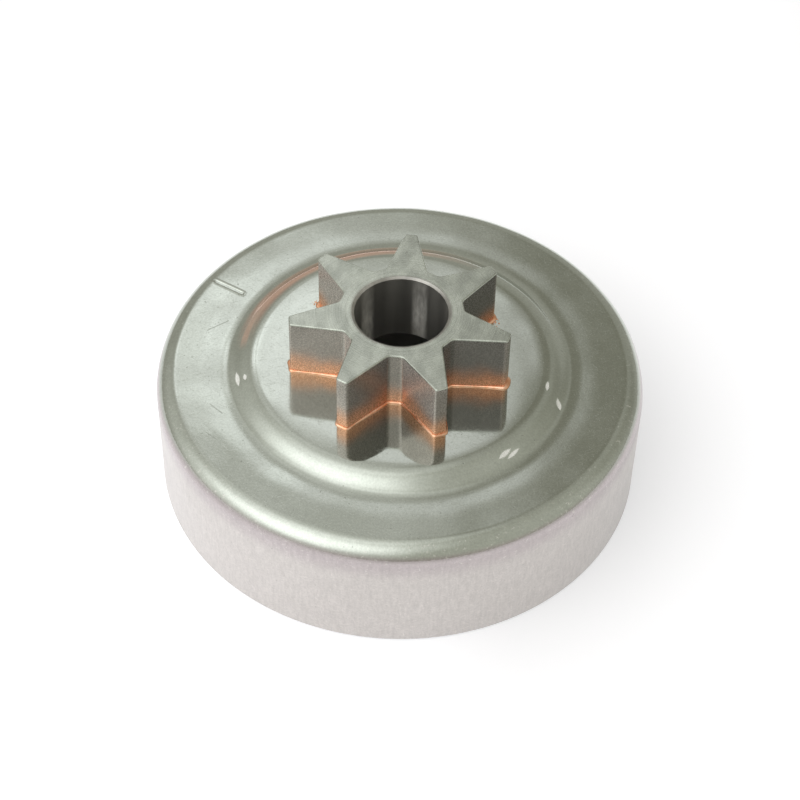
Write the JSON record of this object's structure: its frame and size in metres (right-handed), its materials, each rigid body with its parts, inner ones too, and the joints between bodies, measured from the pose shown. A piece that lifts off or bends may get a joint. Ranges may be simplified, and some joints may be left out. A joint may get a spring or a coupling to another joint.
{
  "type": "chainsaw sprocket",
  "caption": "Chainsaw clutch drum with its drive sprocket: a pressed steel cup, open below, with a star-shaped spur brazed onto its raised face and a bearing bore through the hub.",
  "frame": {"origin": "centre of the open rim, on the plane that the drum stands on", "axes": "+Z along the shaft axis, from the open rim towards the spur; -Y towards the picture's viewer"},
  "size_m": [0.0686, 0.0686, 0.0291],
  "materials": {
    "drum_steel": "bare pressed sheet steel, satin with fine handling scratches",
    "spur_steel": "milled steel, turned on top, with a copper stain rising from the foot of the flanks",
    "braze_filler": "bright copper-coloured braze, smooth where it ran"
  },
  "bodies": {
    "root": {"clutch_drum": "drum_steel", "spur_sprocket": "spur_steel", "braze_bead": "braze_filler"}
  },
  "joints": []
}
